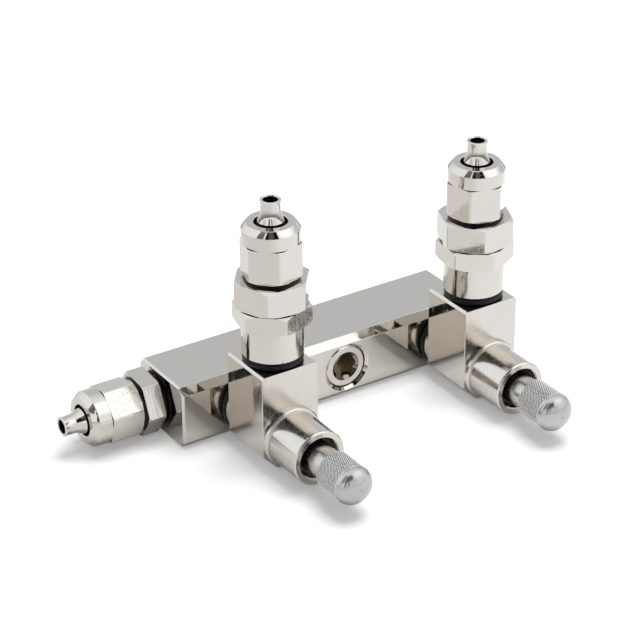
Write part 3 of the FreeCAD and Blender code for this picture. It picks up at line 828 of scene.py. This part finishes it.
class MANIFOLD_OT_knobs(Operator):
    """Finger knobs: smooth neck, diamond knurl and rounded nose"""

    bl_idname = "manifold.knobs"
    bl_label = "Knobs"

    def execute(self, context):
        for side in SIDES:
            self.make_knob(context.scene.manifold_valve, side)
        return {"FINISHED"}

    def make_knob(self, sizes, side):
        """One knob, in the frame of its port."""
        node = side + "_knob"
        place = on_front(node)
        neck_start, tip = reach(node, place)
        # The nose is a bend round the grip's end, and then a flatter dome that meets it smoothly
        bend, edge, steps = sizes.nose_bend, sizes.nose_edge, 12
        centre = sizes.knurl_radius - edge
        dome = (centre + edge * math.cos(bend)) / math.cos(bend)
        dome_centre = tip - dome
        grip_end = dome_centre + dome * math.sin(bend) - edge * math.sin(bend)
        grip_start = grip_end - sizes.knurl_length
        root = sizes.knurl_radius - sizes.knurl_height
        rows = round((grip_end - grip_start) / (2 * math.pi * root / sizes.knurl_count))
        pitch = (grip_end - grip_start) / rows
        grip = [(root, grip_start + pitch * i) for i in range(rows + 1)]
        bends = [bend * (i + 1) / steps for i in range(steps)]
        nose = [(centre + edge * math.cos(a), grip_end + edge * math.sin(a)) for a in bends]
        mark = math.acos(sizes.nose_mark / dome)
        domes = [bend + (mark - bend) * (i + 1) / steps for i in range(steps)]
        nose += [(dome * math.cos(a), dome_centre + dome * math.sin(a)) for a in domes]
        nose += [(sizes.nose_mark / 3, tip - sizes.nose_mark / 2)]
        hole, depth = sizes.spigot_radius, neck_start + sizes.spigot_depth
        outline = [(hole / 4, depth), (hole, depth), (hole, neck_start), (sizes.knob_neck, neck_start),
                   (sizes.knob_neck, grip_start), (root - sizes.grip_edge, grip_start)] + grip
        outline += [(sizes.knurl_radius - ABOUT, grip_end)] + nose
        knob = turned(outline, sizes.knurl_count)
        self.cut_knurl(knob, root, grip_start, grip_end, pitch, sizes.knurl_height)
        # 0 on smooth faces, 0.5 on the knurl's points and 1 in its grooves, for the material, which paints
        # the points brighter, partly as a painted highlight, and the grooves darker as painted shade
        knurled = knob.data.attributes.new("knurl", "FLOAT", "POINT")
        for point, level in zip(knob.data.vertices, knurled.data):
            if grip_start - SAME_PLACE < point.co.z < grip_end - SAME_PLACE:
                level.value = 1.0 if abs(math.hypot(*point.co.xy) - root) < ABOUT else 0.5
        fit(knob, side + "_knurled_knob", place, node, finish("satin_anodised_aluminium"),
            finish("bare_turned_aluminium"),
            lambda height, rim: height < grip_start - SAME_PLACE)

    def cut_knurl(self, knob, root, grip_start, grip_end, pitch, height):
        """Raise a point on every diamond of the grip.

        The grip's squares are poked, their own edges go, so that diamonds are left, and those
        are poked again, outwards.
        """
        def key(point):
            return tuple(round(c / SAME_PLACE) for c in point)

        def on_grip(face):
            upright = abs(face.normal.z) < 0.1
            within = grip_start < face.center.z < grip_end
            return upright and within and math.hypot(*face.center.xy) > root - 5 * ABOUT

        def square_edge(a, b):
            on_root = abs(math.hypot(*a.xy) - root) < ABOUT
            inside = grip_start + pitch / 4 < (a.z + b.z) / 2 < grip_end - pitch / 4
            return on_root and inside and key(a) in lattice and key(b) in lattice

        lattice = {key(point.co) for point in knob.data.vertices}
        select_parts(knob, "FACE", on_grip)
        bpy.ops.mesh.poke(offset=0.0)
        bpy.ops.object.mode_set(mode="OBJECT")
        select_edges(knob, square_edge)
        bpy.ops.mesh.dissolve_edges(use_verts=False)
        bpy.ops.object.mode_set(mode="OBJECT")
        select_parts(knob, "FACE", on_grip)
        bpy.ops.mesh.poke(offset=height)
        bpy.ops.object.mode_set(mode="OBJECT")


class MANIFOLD_OT_needles(Operator):
    """Finish of the needles and of the bushes that carry them"""

    bl_idname = "manifold.needles"
    bl_label = "Needles and bushes"

    def execute(self, context):
        for side in SIDES:
            dress(side + "_needle", finish("stainless_spring_steel"))
            dress(side + "_stem_bush", finish("bare_turned_brass"))
        return {"FINISHED"}


# Check valves, hose ends and nuts


def hose_end(sizes, face, tip):
    """Thread, post and barb above a hexagon's face."""
    root = sizes.thread_radius - sizes.thread_height
    crest, pitch = sizes.thread_radius, sizes.thread_pitch
    start, end = face + pitch / 2, face + sizes.thread_length
    outline = [(root, face - OVERRUN), (root, start)]
    while start + pitch < end:
        heights = [start + share * pitch for share in THREAD_PROFILE]
        outline += zip((root, crest, crest, root), heights)
        start += pitch
    lip = tip - sizes.lip_height
    outline += [(root, end), (sizes.post_radius, end), (sizes.post_radius, face + sizes.undercut),
                (sizes.crest_radius, face + sizes.crest), (sizes.barb_radius, face + sizes.straight),
                (sizes.barb_radius, lip), (sizes.lip_radius, lip + sizes.lip_rise),
                (sizes.lip_radius, tip - sizes.barb_edge), (sizes.barb_radius - sizes.barb_edge, tip)]
    return turned(outline)


def hose_bore(sizes, start, tip):
    """Tool that cuts the bore through a hose end, with a small flare at the tip."""
    bore, flare = sizes.bore_radius, sizes.barb_edge
    return turned([(bore, start - OVERRUN), (bore, tip - flare), (bore + flare, tip),
                   (bore + 2 * flare, tip + flare)], SMALL_ROUND)


def hose_connector(hexagon, stub_outline, hose, low, face, tip):
    """Add the screwed stub and the hose end to a hexagon, and bore it through."""
    combine(hexagon, turned(stub_outline), "UNION")
    combine(hexagon, hose_end(hose, face, tip), "UNION")
    combine(hexagon, hose_bore(hose, low, tip), "DIFFERENCE")


class MANIFOLD_OT_check_bodies(Operator):
    """Lower halves of the check valves: barrel, hexagon and chamber"""

    bl_idname = "manifold.check_bodies"
    bl_label = "Check valve bodies"

    def execute(self, context):
        sizes = context.scene.manifold_check
        ports = context.scene.manifold_block
        for side, corner_turn in zip(SIDES, (sizes.left_lower_turn, sizes.right_lower_turn)):
            node = side + "_check_body"
            place = on_body(side)
            low, top = reach(node, place)
            foot = reach(side + "_check_seal", place)[1]
            hexagon = top - sizes.lower_height
            edge, radius, groove = sizes.barrel_edge, sizes.barrel_radius, sizes.groove
            body = turned([
                (ports.stub_radius - edge, low), (ports.stub_radius, low + edge), (ports.stub_radius, 0),
                (ports.neck_radius, 0), (ports.neck_radius, foot), (radius - edge, foot),
                (radius, foot + edge), (radius, hexagon - groove), (radius - groove, hexagon - groove),
                (radius - groove, hexagon + edge)], LARGE_ROUND)
            bar = turned_back_hexagon(sizes.flats, hexagon, top, corner_turn, sizes.corner_cut,
                                      sizes.corner_round)
            combine(body, bar, "UNION")
            chamber, socket = sizes.chamber_radius, sizes.cap_stub + sizes.stub_room
            bore = turned([
                (sizes.inlet_bore, low - OVERRUN), (sizes.inlet_bore, sizes.seat_height),
                (chamber, sizes.seat_height), (chamber, hexagon), (socket, hexagon),
                (socket, top + OVERRUN)], SMALL_ROUND)
            combine(body, bore, "DIFFERENCE")
            fit(body, side + "_check_valve", place, node, finish("nickel_on_turned_stack"))
        return {"FINISHED"}


class MANIFOLD_OT_check_caps(Operator):
    """Upper halves of the check valves: hexagon, thread, post and barb"""

    bl_idname = "manifold.check_caps"
    bl_label = "Check valve caps"

    def execute(self, context):
        sizes = context.scene.manifold_check
        hose = context.scene.manifold_hose
        for side, corner_turn in zip(SIDES, (sizes.left_upper_turn, sizes.right_upper_turn)):
            node = side + "_check_cap"
            place = on_body(side)
            low, tip = reach(node, place)
            start = reach(side + "_check_body", place)[1] + sizes.joint_gap
            face = tip - hose.tip
            cap = turned_back_hexagon(sizes.flats, start, face, corner_turn, sizes.corner_cut,
                                      sizes.corner_round)
            stub = [(sizes.cap_stub, low), (sizes.cap_stub, start + OVERRUN)]
            hose_connector(cap, stub, hose, low, face, tip)
            fit(cap, side + "_barbed_cap", place, node, finish("nickel_on_turned_stack"))
        return {"FINISHED"}


class MANIFOLD_OT_inlet(Operator):
    """Inlet connector on the left end of the block"""

    bl_idname = "manifold.inlet"
    bl_label = "Inlet connector"

    def execute(self, context):
        sizes = context.scene.manifold_check
        ports = context.scene.manifold_block
        hose = context.scene.manifold_hose
        place = on_left_end()
        low, tip = reach("inlet_connector", place)
        start = reach("inlet_seal", place)[1]
        face = tip - hose.tip
        fitting = turned_back_hexagon(sizes.inlet_flats, start, face, sizes.inlet_turn,
                                      sizes.inlet_corner_cut, sizes.corner_round)
        stub = [(ports.stub_radius, low), (ports.stub_radius, 0), (ports.neck_radius, 0),
                (ports.neck_radius, start + OVERRUN)]
        hose_connector(fitting, stub, hose, low, face, tip)
        fit(fitting, "inlet_fitting", place, "inlet_connector", finish("nickel_on_turned_inlet"),
            finish("nickel_on_scratched_hexagon"),
            lambda height, rim: rim > ports.stub_radius + MM / 2 and start < height < face)
        return {"FINISHED"}


class MANIFOLD_OT_hose_nuts(Operator):
    """Hose nuts: six flats, a plain band and a steep chamfer"""

    bl_idname = "manifold.hose_nuts"
    bl_label = "Hose nuts"

    def execute(self, context):
        sizes = context.scene.manifold_hose
        stack, inlet = finish("nickel_on_turned_stack"), finish("nickel_on_turned_inlet")
        self.make_nut(sizes, "left_outlet_nut", on_body("left"), sizes.left_nut_turn, stack)
        self.make_nut(sizes, "right_outlet_nut", on_body("right"), sizes.right_nut_turn, stack)
        self.make_nut(sizes, "inlet_nut", on_left_end(), sizes.inlet_nut_turn, inlet)
        return {"FINISHED"}

    def make_nut(self, sizes, node, place, corner_turn, material):
        """One nut, in the frame of its hose end."""
        foot, top = reach(node, place)
        hex_top = foot + sizes.nut_hex_height
        cut, corner = sizes.nut_corner_cut, sizes.nut_corner
        rise, groove = cut * math.tan(HALF_CORNER), sizes.nut_groove
        envelope = turned([(corner - cut, foot), (corner, foot + rise), (corner, hex_top - 2 * groove),
                           (corner - groove, hex_top - groove)], HEXAGON_ROUND)
        nut = hexagon_bar(sizes.nut_flats, foot - OVERRUN, top, corner_turn, 0.0)
        combine(nut, envelope, "INTERSECT")
        round_edges(nut, sizes.nut_edge, sharper_than=20)
        band, root = sizes.nut_band_radius, sizes.nut_flats / 2 - groove
        nose = turned([(root, hex_top - OVERRUN), (root, hex_top), (band, hex_top),
                       (band, hex_top + sizes.nut_band_height), (sizes.nut_top_radius, top)], LARGE_ROUND)
        round_edges(nose, sizes.nut_band_edge)
        combine(nut, nose, "UNION")
        thread, hole = sizes.thread_radius + sizes.thread_room, sizes.nut_hole
        depth, edge = foot + sizes.nut_thread_depth, sizes.nut_hole_edge
        bore = turned([(thread, foot - OVERRUN), (thread, depth), (hole, depth + sizes.nut_cone),
                       (hole, top - edge), (hole + edge, top), (hole + 3 * edge, top + 2 * edge)])
        combine(nut, bore, "DIFFERENCE")
        fit(nut, node.replace("nut", "hose_nut"), place, node, material,
            finish("bare_turned_brass"), lambda height, rim: rim < thread + ABOUT and height < top - MM)


class MANIFOLD_OT_seals(Operator):
    """Finish of the rubber rings"""

    bl_idname = "manifold.seals"
    bl_label = "Seals and rings"

    def execute(self, context):
        kinds = ("nipple_seal", "stem_seal", "check_seal", "cap_seal", "poppet_seal", "nut_ring")
        nodes = [side + "_" + kind for side in SIDES for kind in kinds]
        for node in nodes + ["inlet_seal", "inlet_nut_ring"]:
            dress(node, finish("black_nitrile_rubber"))
        return {"FINISHED"}


class MANIFOLD_OT_poppets(Operator):
    """Finish of the poppets and springs inside the check valves"""

    bl_idname = "manifold.poppets"
    bl_label = "Poppets and springs"

    def execute(self, context):
        for side in SIDES:
            dress(side + "_check_poppet", finish("bare_turned_brass"))
            dress(side + "_check_spring", finish("stainless_spring_steel"))
        return {"FINISHED"}


# Stage


# The floor as reflections show it: cool white, with painted light that brightens it towards the soft box
# and painted shade that greys it far away
FLOOR_LEFT = (0.95, 0.98, 1.02, 1)
FLOOR_RIGHT_PAINTED_LIGHT = (1.12, 1.17, 1.25, 1)
FLOOR_FAR_PAINTED_SHADE = (0.5, 0.51, 0.53, 1)

# Grey that reflections show at bearings from the camera, in degrees with its right positive:
# high up the flags, and lower down the camera's stand and three wide panels
FLAGS = ((-59, 1.0), (-58, 0.16), (-31, 0.14), (-30, 1.0), (-23.5, 1.0), (-22.5, 0.012),
         (-9, 0.012), (-7, 0.1), (14, 0.1), (16, 0.01), (34, 0.01), (36, 1.0))
STAND = ((-75, 1.0), (-68, 0.7), (-46, 0.7), (-39, 1.0),
         (-18, 1.0), (-17, 0.03), (-6, 0.03), (-5, 0.95), (7, 0.95), (8, 0.05), (15, 0.05), (16, 1.0),
         (20, 1.0), (25, 0.82), (45, 0.82), (52, 1.0), (105, 1.0), (112, 0.7), (134, 0.7), (141, 1.0))
# Heights of a ray above the horizon, in degrees, and how much of each is there
FLAG_HEIGHTS = ((23, 0.0), (25, 1.0), (62, 1.0), (67, 0.0))
STAND_HEIGHTS = ((1, 0.0), (2, 1.0), (23, 1.0), (25, 0.0))

# Directions of the soft box and the back wall, and what each does to the light at angles from
# its middle, in degrees
SOFT_BOX_SIDE = Vector((0.479, -0.49, 0.727)).normalized()
SOFT_BOX = ((0, 1.35), (18, 1.35), (29, 1.0))
BACK_WALL_SIDE = Vector((0.479, 0.7375, 0.35)).normalized()
BACK_WALL = ((0, 0.6), (22, 0.62), (54, 0.95), (72, 1.0))
DAYLIGHT = (1.22, 1.31, 1.42, 1)


def sweep_material(finishes, rightward):
    """White paper: matt, with soft shadows, and clean white where no shadow falls."""
    material, tree, shader, place = new_material("white_paper_sweep")
    paper = add_node(tree, "ShaderNodeMix", {
        SHARE: grain(tree, place, 0.4 * MM), FIRST: finishes.floor, SECOND: finishes.floor_fibre},
        data_type="RGBA")
    to_the_right = add_node(tree, "ShaderNodeVectorMath", {0: place, 1: rightward}, operation="DOT_PRODUCT")
    away = add_node(tree, "ShaderNodeVectorMath", {0: place}, operation="LENGTH")
    near_box = add_node(tree, "ShaderNodeMapRange", {
        "Value": to_the_right, "From Min": -15 * MM, "From Max": 50 * MM})
    painted_far_shade = add_node(tree, "ShaderNodeMapRange", {
        "Value": away, "From Min": 140 * MM, "From Max": 450 * MM})
    # To the camera the floor glows a little near the object, where shadows fall, and more beyond
    lift = add_node(tree, "ShaderNodeMapRange", {
        "Value": away, "From Min": 150 * MM, "From Max": 700 * MM, "To Min": 0.2})
    rays = add_node(tree, "ShaderNodeLightPath", {}).outputs
    # Painted light and shade that only reflections see: brighter towards the soft box, grey far away
    mirrored = FLOOR_LEFT
    for share, other in ((near_box, FLOOR_RIGHT_PAINTED_LIGHT), (painted_far_shade, FLOOR_FAR_PAINTED_SHADE)):
        mirrored = add_node(tree, "ShaderNodeMix", {
            SHARE: share, FIRST: mirrored, SECOND: other}, data_type="RGBA")
    shown = add_node(tree, "ShaderNodeMix", {
        SHARE: rays["Is Glossy Ray"], FIRST: paper, SECOND: mirrored}, data_type="RGBA")
    glow = add_node(tree, "ShaderNodeMath", {0: rays["Is Camera Ray"], 1: lift}, operation="MULTIPLY")
    feed(tree, shader, {"Base Color": shown, "Emission Strength": glow, "Emission Color": (1, 1, 1, 1),
                        "Roughness": 0.9, "Specular IOR Level": 0.0})
    return material


def studio_world(stage):
    """White studio: dark flags stand round the camera, with a bright soft box to their right.

    Only reflections show the flags, the stand, the panels, the box and the greyer back wall.
    The camera and matt surfaces see plain white.
    """
    world = bpy.data.worlds.new("studio")
    bpy.context.scene.world = world
    world.use_nodes = True
    tree = world.node_tree
    tree.nodes.clear()
    ray = add_node(tree, "ShaderNodeTexCoord", {}).outputs["Generated"]
    towards = Vector(stage.camera_place) - Vector(stage.camera_target)
    faced = add_node(tree, "ShaderNodeVectorRotate", {
        "Vector": ray, "Angle": -math.atan2(towards.y, towards.x)}, rotation_type="Z_AXIS")
    parts = add_node(tree, "ShaderNodeSeparateXYZ", {0: faced}).outputs
    near_box = add_node(tree, "ShaderNodeVectorMath", {0: ray, 1: SOFT_BOX_SIDE}, operation="DOT_PRODUCT")
    near_wall = add_node(tree, "ShaderNodeVectorMath", {0: ray, 1: BACK_WALL_SIDE}, operation="DOT_PRODUCT")
    bearing = {0: parts["Y"], 1: parts["X"]}
    height = {0: parts["Z"]}
    levels = []
    for inputs, operation, stops in (
            (height, "ARCSINE", FLAG_HEIGHTS), (bearing, "ARCTAN2", FLAGS),
            (height, "ARCSINE", STAND_HEIGHTS), (bearing, "ARCTAN2", STAND),
            ({0: near_box}, "ARCCOSINE", SOFT_BOX), ({0: near_wall}, "ARCCOSINE", BACK_WALL)):
        radians = add_node(tree, "ShaderNodeMath", inputs, operation=operation)
        ramp_place = add_node(tree, "ShaderNodeMapRange", {
            "Value": radians, "From Min": -math.pi, "From Max": math.pi})
        levels.append(add_node(tree, "ShaderNodeValToRGB", {"Fac": ramp_place}, stops))
    flag_share, flags, stand_share, stand, box, wall = levels
    seen = (1, 1, 1, 1)
    for share, other in ((flag_share, flags), (stand_share, stand)):
        seen = add_node(tree, "ShaderNodeMix", {SHARE: share, FIRST: seen, SECOND: other}, data_type="RGBA")
    for light in (box, wall, DAYLIGHT):
        seen = add_node(tree, "ShaderNodeMix", {SHARE: 1.0, FIRST: seen, SECOND: light},
                        data_type="RGBA", blend_type="MULTIPLY")
    mirrored = add_node(tree, "ShaderNodeBackground", {"Color": seen})
    rays = add_node(tree, "ShaderNodeLightPath", {}).outputs
    # Full white behind the object, and a weaker white light on matt surfaces
    plainness = add_node(tree, "ShaderNodeMapRange", {"Value": rays["Is Camera Ray"], "To Min": 0.4})
    plain = add_node(tree, "ShaderNodeBackground", {"Color": (1, 1, 1, 1), "Strength": plainness})
    metal = add_node(tree, "ShaderNodeMixShader", {0: rays["Is Glossy Ray"], 1: plain, 2: mirrored})
    add_node(tree, "ShaderNodeOutputWorld", {"Surface": metal})


class MANIFOLD_OT_stage(Operator):
    """White floor, soft light and the camera"""

    bl_idname = "manifold.stage"
    bl_label = "Stage"

    def execute(self, context):
        stage = context.scene.manifold_stage
        start_piece()
        bpy.ops.mesh.primitive_plane_add(size=stage.floor_size, location=(0, 0, -stage.floor_drop))
        floor = context.object
        floor.name = "floor"
        place, target = Vector(stage.camera_place), Vector(stage.camera_target)
        rightward = (target - place).cross(Vector((0, 0, 1))).normalized()
        floor.data.materials.append(sweep_material(context.scene.manifold_finishes, rightward))
        studio_world(stage)
        start_piece()
        bpy.ops.object.light_add(type="AREA", location=stage.lamp_place)
        lamp = context.object
        lamp.name = "soft_box"
        lamp.data.size = stage.lamp_size
        lamp.data.energy = stage.lamp_power
        lamp.rotation_euler = (-lamp.location).to_track_quat("-Z", "Y").to_euler()
        lamp.visible_glossy = False
        start_piece()
        bpy.ops.object.camera_add()
        camera = context.object
        aim = (target - place).to_track_quat("-Z", "Y").to_matrix().to_4x4()
        camera.matrix_world = Matrix.Translation(place) @ aim @ Matrix.Rotation(stage.camera_roll, 4, "Z")
        camera.data.sensor_width = 36
        camera.data.lens = stage.focal_length
        camera.data.clip_start = 0.01
        camera.data.clip_end = 10
        context.scene.camera = camera
        context.scene.view_settings.view_transform = "Standard"
        return {"FINISHED"}


class MANIFOLD_PT_pieces(Panel):
    """Buttons for the pieces of the manifold"""

    bl_idname = "MANIFOLD_PT_pieces"
    bl_label = "Gas manifold"
    bl_space_type = "VIEW_3D"
    bl_region_type = "UI"
    bl_category = "Manifold"

    def draw(self, context):
        for operator in OPERATORS:
            self.layout.operator(operator.bl_idname)


GROUPS = (
    ("manifold_block", BlockSizes),
    ("manifold_valve", ValveSizes),
    ("manifold_check", CheckValveSizes),
    ("manifold_hose", HoseEndSizes),
    ("manifold_finishes", Finishes),
    ("manifold_stage", StageSettings),
)
OPERATORS = (
    MANIFOLD_OT_stage, MANIFOLD_OT_block, MANIFOLD_OT_port_plug, MANIFOLD_OT_nipples,
    MANIFOLD_OT_valve_bodies, MANIFOLD_OT_knobs, MANIFOLD_OT_needles, MANIFOLD_OT_check_bodies,
    MANIFOLD_OT_check_caps, MANIFOLD_OT_inlet, MANIFOLD_OT_hose_nuts, MANIFOLD_OT_seals,
    MANIFOLD_OT_poppets,
)


def register():
    """Register the classes and put the sizes on the scene."""
    for name, group in GROUPS:
        bpy.utils.register_class(group)
        setattr(bpy.types.Scene, name, PointerProperty(type=group))
    for operator in OPERATORS:
        bpy.utils.register_class(operator)
    bpy.utils.register_class(MANIFOLD_PT_pieces)


def unregister():
    """Take all of it away again."""
    bpy.utils.unregister_class(MANIFOLD_PT_pieces)
    for operator in reversed(OPERATORS):
        bpy.utils.unregister_class(operator)
    for name, group in reversed(GROUPS):
        delattr(bpy.types.Scene, name)
        bpy.utils.unregister_class(group)


def main():
    """Make every piece and the stage, and note the sizes."""
    register()
    bpy.ops.manifold.stage()
    bpy.ops.manifold.block()
    bpy.ops.manifold.port_plug()
    bpy.ops.manifold.nipples()
    bpy.ops.manifold.valve_bodies()
    bpy.ops.manifold.knobs()
    bpy.ops.manifold.needles()
    bpy.ops.manifold.check_bodies()
    bpy.ops.manifold.check_caps()
    bpy.ops.manifold.inlet()
    bpy.ops.manifold.hose_nuts()
    bpy.ops.manifold.seals()
    bpy.ops.manifold.poppets()


if __name__ == "__main__":
    main()
